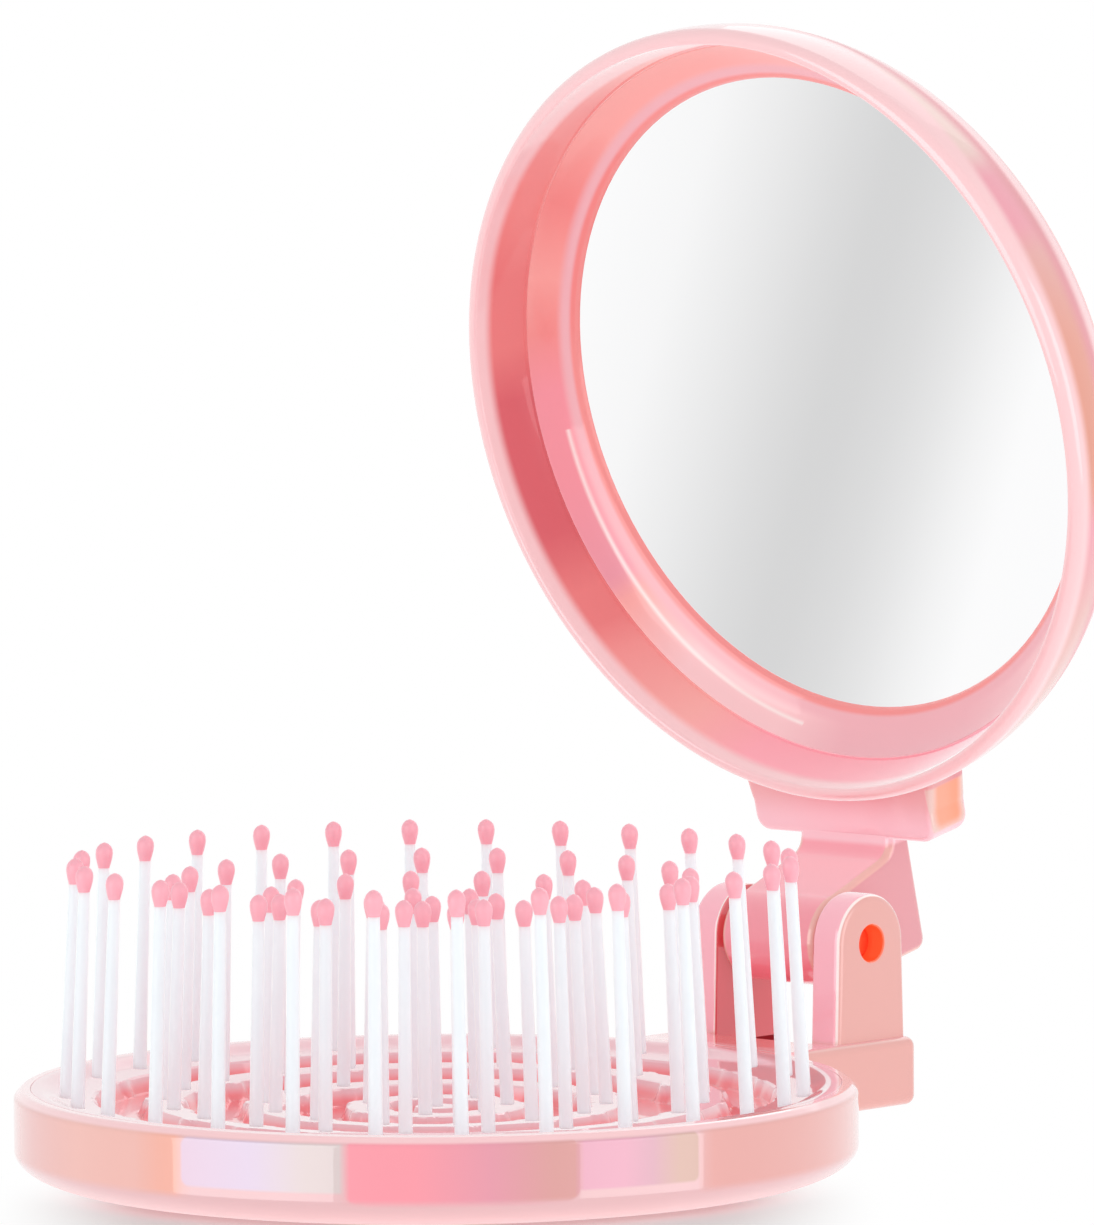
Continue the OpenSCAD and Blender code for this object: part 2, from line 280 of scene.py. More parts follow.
# The face plate: its dish, its grooves, and the lands round its bristles.
PLATE_R, PLATE_RIM_R, PLATE_EDGE = 31.18, 29.7, 0.04
DISH_Z, DISH_RISE = 5.2, 1.2
GROOVE_DEPTH, GROOVE_EDGE = 1.3, 0.32
RIM_INNER_R, RIM_EDGE = 26.1, 1.1
LAND_HALF, LAND_R, RIM_LAND_R = 1.5, 1.9, 2.6

# Where the disc's first tint lies, in degrees round Z from +X.
DISC_START = -90 + math.degrees(CAMERA_TURN) - 140


# --------------------------------------------------------------- materials

PALE = colour(228, 164, 161)
PEACH = colour(238, 180, 170)
APRICOT = colour(241, 170, 151)
AMBER = colour(226, 149, 130)
RUSSET = colour(221, 140, 116)
LILAC = colour(216, 186, 208)
MILK = colour(212, 193, 216)
FADED = colour(208, 152, 169)
SKIRT = colour(226, 180, 183)
# HEM is paler than the skirt: a painted reflection of the white floor.
HEM = colour(236, 190, 192)
ORCHID = colour(222, 154, 176)
IVORY = colour(212, 195, 194)
SAND = colour(204, 162, 147)
ROSE = colour(246, 146, 160)
MAUVE = colour(226, 146, 163)
DAWN = colour(255, 202, 212)
BLOOM = colour(255, 162, 176)
TAN = colour(216, 152, 148)
BLUSH = colour(228, 163, 157)
# LIP, a pale pink, is a painted highlight: on the disc's rim, on the lid's lip and on lit stretches
# inside the lid.
LIP = colour(250, 202, 205)
# CREAM is painted light: a painted reflection on the lid's outside, and the tint of the block's
# right end, set by the way that end faces.
CREAM = colour(236, 200, 192)
PINK = colour(240, 152, 166)
SHELL = colour(240, 179, 187)
MAGENTA = colour(236, 150, 166)
SALMON = colour(250, 168, 163)
CORAL = colour(244, 142, 140)
BRICK = colour(236, 116, 117)
# The darkest red is painted shade: in the slot between the ears and inside the lid.
SHADE_RED = colour(219, 80, 92)
LANDS = colour(238, 186, 194)
# A deeper coral: painted shade in the grooves of the plate.
GROOVE_SHADE = colour(246, 120, 128)
BEAD = colour(249, 173, 187)
DIPPED = colour(253, 182, 195)
# GLOW is the orange red inside the ears' bores, painted light that glows there though they are no
# lamp.
GLOW = colour(255, 92, 46)
WARM = colour(230, 166, 158)
SPARK = colour(255, 162, 130)
DUSK = colour(226, 150, 158)
# GLINT, near white, is a painted highlight: on the ears' edges and in a long line inside the lid.
GLINT = colour(255, 244, 240)
# A deeper rose: painted shade on the knuckle, where it turns down between the ears.
KNUCKLE_SHADE = colour(248, 116, 134)
BRIGHT = colour(255, 184, 198)
NYLON = colour(213, 219, 223)
CLOUDED = colour(218, 224, 227)
PIN_ORANGE = colour(250, 120, 80)

# These four are linear, not display colours. The first is stronger than white, as a lamp is.
BORE_GLOW = (2.6, 0.42, 0.14)
SILVER = (0.97, 0.97, 0.975)
DULL_WHITE = (0.7, 0.66, 0.66)
FOAM_WHITE = (0.75, 0.75, 0.74)

# Tints of the painted reflections on the band, round the brush disc by degrees to the right of its
# front.
DISC_TINTS = (
    (-140, BLUSH), (-36, LILAC), (-35, LILAC), (-24, MILK), (-17, IVORY), (-11.8, IVORY),
    (-11.2, ROSE), (-2, ROSE), (8, MAUVE), (16, TAN), (19.6, TAN), (20.2, ORCHID), (26, ORCHID),
    (30, FADED), (34, SAND), (38, SAND), (39, BLUSH), (90, PALE))
BASE_TINTS = (
    (-140, BLUSH), (-90, PALE), (-70, PALE), (-55, PEACH), (-43, PEACH), (-38, APRICOT),
    (-35.9, APRICOT), (-34, SKIRT), (-12, SKIRT), (-8, ROSE), (12, MAUVE), (19, SKIRT), (38, SKIRT),
    (38.8, BLUSH), (60, BLUSH), (90, PALE))
# The three painted reflections on the band, of the two lamp panels and the gap between them: (from,
# to, low, high) in mm round it and up it, and corner radius.
DISC_REFLECTIONS = (((-19.77, -6.0, 2.84, 6.5), 0.7), ((-6.7, 11.3, 2.1, 6.75), 1.2),
               ((10.6, 21.2, 2.84, 6.5), 0.5))
# Tints round the outside of the lid, by degrees round from its right, with its hinge at 90. Its
# cream stretch is a painted reflection of a lamp panel.
LID_TINTS = (
    (-180, PINK), (-120, PALE), (-84, BLUSH), (-74, CREAM), (-43, CREAM), (-38.5, MAGENTA),
    (-30, MAGENTA), (-25, BLUSH), (-12, AMBER), (3, RUSSET), (9, RUSSET), (15, MAGENTA),
    (30, BLUSH), (60, BLUSH), (90, PINK), (130, PEACH), (160, PINK))
# Tints round the inside of the lid's wall and round the mirror's ring: painted light and shade, dark
# reds where they lie in shade and pale pinks where they are lit.
WALL_TINTS = (
    (-180, SHADE_RED), (-172, BRICK), (-160, BRICK), (-148, CORAL), (-125, CORAL), (-110, SALMON),
    (-95, LIP), (0, LIP), (56, DAWN), (78, BLOOM), (108, BLOOM), (121, SALMON), (136, CORAL),
    (142, BRICK), (148, BRICK), (158, SHADE_RED))
RING_TINTS = (
    (-180, ROSE), (-170, CORAL), (-160, SALMON), (-146, CORAL), (-130, SALMON), (-100, SALMON),
    (-40, LIP), (40, LIP), (68, SHELL), (95, SHELL), (108, LIP), (128, LIP), (143, SALMON),
    (147, MAGENTA), (165, ROSE))


def round_stops(tints):
    """Tints by degrees as stops of a ramp that covers a whole turn from the first one."""
    first = tints[0][0]
    return (*(((degrees - first) / 360, tint) for degrees, tint in tints), (1.0, tints[0][1]))


def gloss(g, tint, rough=0.25, coat=1.0, glow=None):
    """High gloss plastic with a clear coat over its tint. It also glows faintly: painted light that
    stands in for light soaking through the plastic and lifts its shade.
    """
    flake = g.noise(g.place(), 900.0, 3.0)
    return g.node("ShaderNodeBsdfPrincipled", {}, {
        "Base Color": tint, "Roughness": flake * 0.02 + rough,
        "IOR": 1.5, "Coat Weight": coat, "Coat Roughness": 0.015, "Coat IOR": 1.6,
        "Emission Color": glow or tint, "Emission Strength": 0.12,
    })


def brush_pearl(name):
    """Pearl pink of the brush disc: painted reflections of the studio round its band, and paler
    above and below it, with a painted highlight on its rim and a painted reflection of the floor on
    its hem.
    """
    made = bpy.data.materials.new(name)
    g = Graph(made)
    here = g.place()
    x, y, z = (g.axis(here, n) / MM for n in "XYZ")
    off = g.degrees_round(x, y, DISC_START) + DISC_TINTS[0][0]
    painted_reflections = [g.patch(off * math.radians(DISC_R), z, *box) for box in DISC_REFLECTIONS]
    painted_reflection = painted_reflections[0].maths("MAXIMUM", painted_reflections[1]).maths("MAXIMUM", painted_reflections[2])
    band = g.mix(painted_reflection, g.tints_round(x, y, BASE_TINTS, DISC_START),
                 g.tints_round(x, y, DISC_TINTS, DISC_START))
    # From below: the hem, paler as a painted reflection of the white floor, the skirt, the band with
    # its painted reflections, and the rim, paler as a painted highlight.
    low = g.mix(z.part(0.5, 1.8), rgba(HEM), rgba(SKIRT))
    skirt = g.mix(z.part(1.7, 2.5), low, band)
    rim = g.mix(z.part(6.42, 6.7), skirt, rgba(LIP))
    # The ears, tinted by the way they face as painted light: lighter in front and warmer at their
    # ends, with a painted glint on the edge between and a painted glow in the bore.
    lean = g.lean()
    ears = g.mix(lean.part(0.3, 0.8), rgba(BRIGHT), rgba(WARM))
    ears = g.mix(lean.part(0.35, 0.5) * (1 - lean.part(0.65, 0.8)), ears, rgba(GLINT))
    around = ((y - AXIS_Y) * (y - AXIS_Y) + (z - AXIS_Z) * (z - AXIS_Z)).maths("SQRT")
    past_bore = around.part(EAR_BORE_R + 0.05, EAR_BORE_R + 0.17)
    ears = g.mix(past_bore, rgba(GLOW), ears)
    # The block under the ears, and painted shade in the slot between them, darkest behind its front
    # wall.
    behind = g.mix(z.part(6.6, 7.4), rgba(WARM), ears)
    inside = 1 - x.maths("ABSOLUTE").part(EAR_IN + 0.02, EAR_IN + 0.1)
    slot = g.mix(y.part(SLOT_FRONT - 0.3, SLOT_FRONT + 0.05), rgba(CORAL), rgba(SHADE_RED))
    hinge = g.mix(inside, behind, slot)
    tint = g.mix(y.part(32.6, 33.4), rim, hinge)
    # Painted light: the bores glow, stronger than white, as a lamp does.
    bore = y.part(36.0, 37.0) * (1 - past_bore)
    glow = g.mix(bore, tint, rgba(BORE_GLOW))
    g.close("ShaderNodeOutputMaterial", gloss(g, tint, coat=z.part(0.5, 1.8), glow=glow))
    return made


def lid_pearl(name, wall_tints):
    """Pearl pink of the lid, with painted light and shade. Its inside has its own tints, and the lip
    between is paler, as a painted highlight.
    """
    made = bpy.data.materials.new(name)
    g = Graph(made)
    here = g.place()
    x, y, z = (g.dot(here, way) / MM - way.dot(IN_LID.translation)
               for way in (IN_LID.col[n].to_3d() for n in range(3)))
    radius = (x * x + y * y).maths("SQRT")
    # The outside, with its painted reflection, darker towards its back.
    outside = g.tints_round(x, y, LID_TINTS, LID_TINTS[0][0])
    outside = g.mix(z.part(3.2, 5.0), outside, rgba(DUSK))
    # The inside, from the mouth to the floor, tinted with painted light and shade, with one long
    # painted highlight far down in it.
    wall = g.tints_round(x, y, wall_tints, wall_tints[0][0])
    wall = g.mix(z.part(6.6, 7.0), wall, rgba(SHELL))
    wall = g.mix(z.part(7.1, 7.25), wall, rgba(CORAL))
    turn = g.degrees_round(x, y, -180) - 180
    streak_highlight = g.patch(turn * 0.52, z - turn * 0.004, (54.0, 90.0, 5.76, 5.94), 0.09, 0.1)
    wall = g.mix(streak_highlight * 0.75, wall, rgba(GLINT))
    # The lip between them, paler as a painted highlight, which reaches deepest on the side away from
    # the hinge; shade is the depth less that extra reach.
    cup = g.mix(radius.part(30.9, 31.4), wall, outside)
    shade = z - (y / -30.5).maths("MAXIMUM", 0.0).maths("POWER", 4.7) * 3.6
    cup = g.mix(shade.part(0.9, 2.0), rgba(LIP), cup)
    # The block, its right end tinted otherwise than its front by the way they face, as painted
    # light, with a painted highlight patch on that end; the knuckle's edges; and the web, painted
    # lighter at its top where the block shades it, with painted shade on the knuckle, and its sides
    # tinted by the way they face.
    wide = x.maths("ABSOLUTE")
    at_end = x.part(LUG_HALF - 0.2, LUG_HALF - 0.05)
    patch = at_end * g.patch(y, z, (29.0, 34.4, 2.3, 5.4), 0.8, 0.5)
    block = g.mix(patch, g.mix(at_end, rgba(DAWN), rgba(CREAM)), rgba(SPARK))
    rims = wide.part(4.3, 4.5) * (1 - wide.part(4.88, 4.98)) * y.part(35.4, 36.2)
    web = g.mix(y.part(36.5, 38.5), rgba(BLOOM), rgba(ROSE))
    web = g.mix(y.part(41.0, 45.0), web, rgba(KNUCKLE_SHADE))
    web = g.mix(g.lean().part(0.3, 0.8), web, rgba(DUSK))
    block = g.mix(y.part(35.5, 36.0), block, web)
    # The block begins past the cup's wall, and a little sooner at its end.
    beyond = y.part(31.5, 34.5).maths("MAXIMUM", at_end * y.part(30.7, 31.0))
    low = g.mix(beyond, cup, g.mix(rims, block, rgba(PEACH)))
    outer = radius.part(31.0, 31.4)
    coat = 1 - outer * z.part(3.2, 5.0) - (1 - outer) * z.part(0.6, 1.6) * 0.45
    g.close("ShaderNodeOutputMaterial", gloss(g, low, coat=coat))
    return made


def plate_pearl(name):
    """Pearl pink of the face plate, with painted shade making it a deeper coral in its grooves."""
    made = bpy.data.materials.new(name)
    g = Graph(made)
    here = g.place()
    x, y, z = (g.axis(here, n) / MM for n in "XYZ")
    dish = (x * x + y * y) * (DISH_RISE / PLATE_RIM_R ** 2) + DISH_Z
    groove_shade = (dish - z).part(0.15, 1.0)
    g.close("ShaderNodeOutputMaterial", gloss(g, g.mix(groove_shade, rgba(LANDS), rgba(GROOVE_SHADE)), 0.3))
    return made


def nylon(name):
    """Milky nylon of the bristle shafts, with a glow in its own tint: painted light that stands in
    for light through the nylon and keeps the shafts white in their shade.
    """
    made = bpy.data.materials.new(name)
    g = Graph(made)
    cloud = g.noise(g.place(), 400.0)
    tint = g.mix(cloud, rgba(NYLON), rgba(CLOUDED))
    skin = g.node("ShaderNodeBsdfPrincipled", {}, {
        "Base Color": tint, "Roughness": 0.35, "IOR": 1.45,
        "Subsurface Weight": 1.0, "Subsurface Radius": (1.0, 1.0, 1.0),
        "Subsurface Scale": 1.2 * MM,
        "Emission Color": tint, "Emission Strength": 0.32,
    })
    g.close("ShaderNodeOutputMaterial", skin)
    return made


def bead_finish(name):
    """Soft pink of the dipped bristle tips, with the same faint glow as the plastic: painted light.
    """
    made = bpy.data.materials.new(name)
    g = Graph(made)
    cloud = g.noise(g.place(), 300.0)
    tint = g.mix(cloud, rgba(BEAD), rgba(DIPPED))
    skin = g.node("ShaderNodeBsdfPrincipled", {}, {
        "Base Color": tint, "Roughness": 0.32, "IOR": 1.5,
        "Subsurface Weight": 0.3, "Subsurface Radius": (1.0, 0.5, 0.5),
        "Subsurface Scale": 0.5 * MM,
        "Emission Color": tint, "Emission Strength": 0.12,
    })
    g.close("ShaderNodeOutputMaterial", skin)
    return made


def silvered(name):
    """Mirror glass."""
    made = bpy.data.materials.new(name)
    g = Graph(made)
    haze = g.noise(g.place(), 60.0)
    skin = g.node("ShaderNodeBsdfPrincipled", {}, {
        "Base Color": rgba(SILVER), "Metallic": 1.0,
        "Roughness": haze * 0.01 + 0.015,
    })
    g.close("ShaderNodeOutputMaterial", skin)
    return made


def plain(name, tint, rough, metal=0.0):
    """A moulded or drawn finish with a fine grain."""
    made = bpy.data.materials.new(name)
    g = Graph(made)
    grain = g.noise(g.place(), 700.0)
    shade = g.mix(grain, rgba(tint), rgba(tuple(c * 0.92 for c in tint)))
    skin = g.node("ShaderNodeBsdfPrincipled", {}, {
        "Base Color": shade, "Roughness": grain * 0.1 + rough, "Metallic": metal,
    })
    g.close("ShaderNodeOutputMaterial", skin)
    return made


# ------------------------------------------------------------------ pieces


def body_name(node):
    return frame["nodes"][node]["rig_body"]


def new_piece(name, mesh, finish, body, slot, *stands_for):
    """Links a mesh as a piece that rides on a body and stands for CAD nodes."""
    made = bpy.data.objects.new(name, mesh)
    bpy.context.scene.collection.objects.link(made)
    mesh.materials.clear()
    mesh.materials.append(finish)
    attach(made, body)
    if stands_for:
        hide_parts(*stands_for)
    return made


WELD = 0.002 * MM
FLAT = math.radians(0.2)
CREASE = math.radians(32)
BORE_STEPS = 48
BORE_EDGE = 0.12
SAME_POINT = 0.0001


def smooth(mesh, crease=CREASE):
    """Soft shading, with a crease only where two faces meet at more than this angle."""
    for face in mesh.polygons:
        face.use_smooth = True
    mesh.set_sharp_from_angle(angle=crease)


def even(piece):
    """Lets the large flat faces of a drawn piece stay flat beside their rounded rims."""
    piece.modifiers.new("even shading", "WEIGHTED_NORMAL").keep_sharp = True


def as_mesh(bm, name):
    """A mesh from a shape drawn in millimetres."""
    bmesh.ops.recalc_face_normals(bm, faces=bm.faces)
    bm.transform(Matrix.Scale(MM, 4))
    mesh = bpy.data.meshes.new(name)
    bm.to_mesh(mesh)
    bm.free()
    smooth(mesh)
    return mesh


def finished(node, name, finish, slot, edge, steps=3):
    """A node's own form with its facets smoothed and its edges rounded, as moulded ones are."""
    mesh = frame["nodes"][node].data.copy()
    mesh.name = name
    bm = bmesh.new()
    bm.from_mesh(mesh)
    bmesh.ops.remove_doubles(bm, verts=bm.verts, dist=WELD)
    bmesh.ops.dissolve_limit(bm, angle_limit=FLAT, verts=bm.verts, edges=bm.edges)
    bm.to_mesh(mesh)
    bm.free()
    if "custom_normal" in mesh.attributes:
        mesh.attributes.remove(mesh.attributes["custom_normal"])
    smooth(mesh)
    piece = new_piece(name, mesh, finish, body_name(node), slot, node)
    if edge:
        round_off = piece.modifiers.new("rounded edges", "BEVEL")
        round_off.limit_method = "ANGLE"
        round_off.angle_limit = CREASE
        round_off.width = edge
        round_off.segments = steps
        round_off.use_clamp_overlap = False
        round_off.harden_normals = True
    return piece


# Outlines are lists of points in millimetres, and go round anticlockwise.


def arc(centre, radius, start, stop, steps=6):
    """Points of a round stretch, from one angle to another, in degrees."""
    found = []
    for k in range(steps + 1):
        angle = math.radians(start + (stop - start) * k / steps)
        found.append((centre[0] + radius * math.cos(angle), centre[1] + radius * math.sin(angle)))
    return found


def bend(start, pull, stop, steps=8):
    """Points of a curve from start to stop that is drawn towards pull."""
    found = []
    for k in range(steps + 1):
        t = k / steps
        found.append(tuple((1 - t) ** 2 * a + 2 * t * (1 - t) * b + t * t * c
                           for a, b, c in zip(start, pull, stop)))
    return found


def eased(corners, steps=5):
    """An outline from (x, y, radius) corners, each rounded by its own radius."""
    found = []
    for k, (x, y, radius) in enumerate(corners):
        here = Vector((x, y))
        back = Vector(corners[k - 1][:2]) - here
        on = Vector(corners[(k + 1) % len(corners)][:2]) - here
        if not radius:
            found.append((x, y))
            continue
        half = back.angle(on) / 2
        reach = radius / math.tan(half)
        inward = (back.normalized() + on.normalized()).normalized()
        centre = here + inward * radius / math.sin(half)
        first = here + back.normalized() * reach - centre
        last = here + on.normalized() * reach - centre
        sweep = first.angle_signed(last)
        for n in range(steps + 1):
            angle = math.atan2(first.y, first.x) - sweep * n / steps
            found.append((centre.x + radius * math.cos(angle), centre.y + radius * math.sin(angle)))
    return found


def inset(outline, depth):
    """The outline moved inwards by depth."""
    found = []
    for k, point in enumerate(outline):
        here = Vector(point)
        before = (here - Vector(outline[k - 1])).normalized()
        after = (Vector(outline[(k + 1) % len(outline)]) - here).normalized()
        inward = Vector((-before.y - after.y, before.x + after.x)) / 2
        found.append(here + inward * depth / inward.length_squared)
    return found


def ring_of(bm, points):
    return [bm.verts.new(point) for point in points]


def bridge(bm, lower, upper):
    for k in range(len(lower)):
        n = (k + 1) % len(lower)
        bm.faces.new((lower[k], lower[n], upper[n], upper[k]))


def rim_steps(edge, steps=5):
    """(depth, height) of the levels of a quarter-round rim, from the flat to the side."""
    return [(edge * (1 - math.sin(math.radians(90 * k / steps))),
             edge * (1 - math.cos(math.radians(90 * k / steps)))) for k in range(steps + 1)]


def soft_slab(bm, outline, low, high, low_edge, high_edge, bore=None):
    """A slab over an outline with rounded rims. bore is (x, y, radius) of a hole through it."""
    rings = [ring_of(bm, [(*p, low + up) for p in inset(outline, depth)])
             for depth, up in rim_steps(low_edge)]
    rings += [ring_of(bm, [(*p, high - up) for p in inset(outline, depth)])
              for depth, up in reversed(rim_steps(high_edge))]
    for lower, upper in zip(rings, rings[1:]):
        bridge(bm, lower, upper)
    if not bore:
        bm.faces.new(list(reversed(rings[0])))
        bm.faces.new(rings[-1])
        return
    x, y, radius = bore
    last = 360 - 360 / BORE_STEPS
    mouth = arc((x, y), radius + BORE_EDGE, 0, last, BORE_STEPS - 1)
    wall = arc((x, y), radius, 0, last, BORE_STEPS - 1)
    lips = [ring_of(bm, [(*p, z) for p in points]) for points, z in (
        (mouth, low), (wall, low + BORE_EDGE), (wall, high - BORE_EDGE), (mouth, high))]
    for lower, upper in zip(lips, lips[1:]):
        bridge(bm, lower, upper)
    for face, hole in ((rings[0], lips[0]), (rings[-1], lips[-1])):
        bm.edges.index_update()
        loops = []
        for loop in (face, hole):
            loops += [bm.edges.get((loop[k - 1], loop[k])) for k in range(len(loop))]
        bmesh.ops.triangle_fill(bm, use_beauty=True, use_dissolve=False, edges=loops)


def turned(bm, profile, steps=180):
    """A solid of revolution about Z from (radius, height) points. Radius 0 is on the axis."""
    rings = []
    for radius, height in profile:
        if radius < SAME_POINT:
            rings.append([bm.verts.new((0, 0, height))])
            continue
        turns = [math.tau * k / steps for k in range(steps)]
        rings.append(ring_of(bm, [(radius * math.cos(turn), radius * math.sin(turn), height)
                                  for turn in turns]))
    pairs = list(zip(rings, rings[1:]))
    if len(rings[0]) > 1:
        pairs.append((rings[-1], rings[0]))
    for lower, upper in pairs:
        if len(lower) == 1 and len(upper) == 1:
            continue
        if len(lower) == 1 or len(upper) == 1:
            tip, loop = (lower[0], upper) if len(lower) == 1 else (upper[0], lower)
            for k in range(steps):
                bm.faces.new((tip, loop[k], loop[(k + 1) % steps]))
        else:
            bridge(bm, lower, upper)


def quarter(centre, rx, ry, start, stop, steps=16):
    """Points of an ellipse about centre, between two angles in degrees."""
    return [(centre[0] + rx * math.cos(math.radians(start + (stop - start) * k / steps)),
             centre[1] + ry * math.sin(math.radians(start + (stop - start) * k / steps)))
            for k in range(steps + 1)]


def placed(bm, draw_it, frame_of_it, *facts):
    """Draws a shape into bm and moves it into its frame."""
    own = bmesh.new()
    draw_it(own, *facts)
    bmesh.ops.recalc_face_normals(own, faces=own.faces)
    own.transform(frame_of_it)
    mesh = bpy.data.meshes.new("shape")
    own.to_mesh(mesh)
    own.free()
    bm.from_mesh(mesh)
    bpy.data.meshes.remove(mesh)


def brush_body():
    """Disc with its seat for the plate, the hinge block behind it and the two ears."""
    bm = bmesh.new()
    skirt = quarter((FOOT_R, BAND_LOW), DISC_R - FOOT_R, BAND_LOW, 270, 360)
    # The first and last corner only give their neighbours a way to turn, and aren't drawn.
    edge = eased([(DISC_R, 4, 0), (DISC_R, BAND_HIGH, DISC_ROUND),
                  (DISC_R - DISC_DRAFT, DISC_T, DISC_ROUND), (SEAT_R, DISC_T, SEAT_EDGE),
                  (SEAT_R, SEAT_Z, 0), (29, SEAT_Z, 0)])[1:-1]
    well = [(WELL_R, SEAT_Z), (WELL_R, WELL_Z + WELL_EDGE), (WELL_R - WELL_EDGE, WELL_Z),
            (0, WELL_Z)]
    placed(bm, turned, Matrix.Identity(4), [(0, 0), *skirt, *edge, *well])
    root = [(BLOCK_ROOT_R * math.sin(math.radians(a)), BLOCK_ROOT_R * math.cos(math.radians(a)), 0)
            for a in (-BLOCK_ROOT_TURN, -8, 0, 8, BLOCK_ROOT_TURN)]
    block = [*root, (BLOCK_HALF, BLOCK_BACK, BLOCK_CORNER), (EAR_IN, BLOCK_BACK, BLOCK_CORNER),
             (EAR_IN, SLOT_FRONT, SLOT_CORNER), (-EAR_IN, SLOT_FRONT, SLOT_CORNER),
             (-EAR_IN, BLOCK_BACK, BLOCK_CORNER), (-BLOCK_HALF, BLOCK_BACK, BLOCK_CORNER)]
    placed(bm, soft_slab, Matrix.Identity(4), eased(block), BLOCK_LOW, DISC_T, BLOCK_EDGE,
           BLOCK_EDGE)
    foot = EAR_R + EAR_DRAFT
    ear = [*arc((0, 0), EAR_R, 0, 180, 40), (-foot, EAR_FOOT), (foot, EAR_FOOT)]
    on_axis = Matrix.Translation((0, AXIS_Y, AXIS_Z)) @ ACROSS
    placed(bm, soft_slab, on_axis, ear, EAR_IN, EAR_OUT, EAR_EDGE_IN, EAR_EDGE_OUT,
           (0, 0, EAR_BORE_R))
    placed(bm, soft_slab, on_axis, ear, -EAR_OUT, -EAR_IN, EAR_EDGE_OUT, EAR_EDGE_IN,
           (0, 0, EAR_BORE_R))
    return as_mesh(bm, "brush body")


PLATE_STEPS, PLATE_TURNS = 154, 600


def soft_step(value):
    """0 below -1, 1 above 1, and a smooth step between."""
    share = min(max((value + 1) / 2, 0), 1)
    return share * share * (3 - 2 * share)


def plate_height(x, y, radius, feet):
    """Height of the plate's face: a shallow dish whose grooves leave a land at every foot."""
    out = soft_step((radius - PLATE_RIM_R) / RIM_EDGE)
    dish = DISH_Z + DISH_RISE * (radius / PLATE_RIM_R) ** 2
    land = soft_step((radius - RIM_INNER_R) / GROOVE_EDGE)
    for ring_r, land_r, spots in feet:
        if LAND_HALF < ring_r < PLATE_RIM_R - 2:
            land = max(land, soft_step((LAND_HALF - abs(radius - ring_r)) / GROOVE_EDGE))
        if abs(radius - ring_r) > land_r + GROOVE_EDGE:
            continue
        near = min(math.hypot(x - fx, y - fy) for fx, fy in spots)
        land = max(land, soft_step((land_r - near) / GROOVE_EDGE))
    face = dish - GROOVE_DEPTH * (1 - land)
    return face + (DISC_T - face) * out


def plate_body(feet):
    """The face plate, drawn from its centre outwards as rings of a height field."""
    bm = bmesh.new()
    waves = [(math.cos(math.tau * k / PLATE_TURNS), math.sin(math.tau * k / PLATE_TURNS))
             for k in range(PLATE_TURNS)]
    rings = []
    for n in range(1, PLATE_STEPS + 1):
        radius = (PLATE_R - PLATE_EDGE) * n / PLATE_STEPS
        rings.append(ring_of(bm, [
            (radius * c, radius * s, plate_height(radius * c, radius * s, radius, feet))
            for c, s in waves]))
    for radius, height in ((PLATE_R, DISC_T - PLATE_EDGE), (PLATE_R, SEAT_Z)):
        rings.append(ring_of(bm, [(radius * c, radius * s, height) for c, s in waves]))
    for lower, upper in zip(rings, rings[1:]):
        bridge(bm, lower, upper)
    middle = bm.verts.new((0, 0, plate_height(0, 0, 0, feet)))
    for k in range(PLATE_TURNS):
        bm.faces.new((middle, rings[0][k], rings[0][(k + 1) % PLATE_TURNS]))
    bm.faces.new(list(reversed(rings[-1])))
    return as_mesh(bm, "face plate")


def lid_body():
    """Cup of the lid, the block on its rim and the knuckle that turns between the ears."""
    bm = bmesh.new()
    lip_r = LID_R - LIP_OUT
    cup = [(0, LID_T), (LID_R - BACK_ROUND, LID_T),
           *reversed(quarter((LID_R - BACK_ROUND, LIP_OUT), BACK_ROUND, LID_T - LIP_OUT, 0, 90)),
           *reversed(arc((lip_r, LIP_OUT), LIP_OUT, 270, 360, 8)),
           *arc((lip_r, LIP_IN), LIP_IN, 270, 180, 5),
           *bend((MOUTH_R, LIP_IN), WALL_PULL, WALL_END, 10),
           (STEP_R, WALL_END[1]), (STEP_R, STEP_END), (FLOOR_R, FLOOR_Z), (0, FLOOR_Z)]
    cup = [p for k, p in enumerate(cup) if k == 0 or math.dist(p, cup[k - 1]) > SAME_POINT]
    placed(bm, turned, IN_LID, cup)
    root = [(LUG_ROOT_HALF * k / 6, LUG_ROOT_Y, 0) for k in range(-6, 7)]
    placed(bm, lid_lug, ON_HINGE, eased([
        *root, (LUG_HALF, LUG_WAIST_Y, LUG_WAIST_ROUND), (LUG_HALF, LUG_END_Y, LUG_END_ROUND),
        (-LUG_HALF, LUG_END_Y, LUG_END_ROUND), (-LUG_HALF, LUG_WAIST_Y, LUG_WAIST_ROUND)]))
    web = [*arc((0, 0), KNUCKLE_R, 180, 360, 40),
           *arc((KNUCKLE_R - WEB_ROUND, WEB_HIGH - WEB_ROUND), WEB_ROUND, 0, 90),
           (WEB_END_Y, WEB_HIGH), (WEB_END_Y, WEB_LOW),
           *bend((-6.6, WEB_LOW), (-5.0, 7.5), (-4.75, 6.0)), (-4.15, 2.5)]
    placed(bm, soft_slab, ON_HINGE @ ACROSS, web, -KNUCKLE_HALF, KNUCKLE_HALF, KNUCKLE_EDGE,
           KNUCKLE_EDGE, (0, 0, KNUCKLE_BORE_R))
    return as_mesh(bm, "lid body")


def lid_lug(bm, outline):
    """The lid's block, with its root bent to lie in the wall of the cup."""
    soft_slab(bm, outline, LUG_LOW, LUG_HIGH, LUG_EDGE_LOW, LUG_EDGE_HIGH)
    for vert in bm.verts:
        if vert.co.y < WALL_JOIN_Y:
            reach = WALL_JOIN_R - WALL_JOIN_DRAFT * (vert.co.z - LID_RISE)
            vert.co.y = math.sqrt(reach ** 2 - vert.co.x ** 2) - LID_REACH


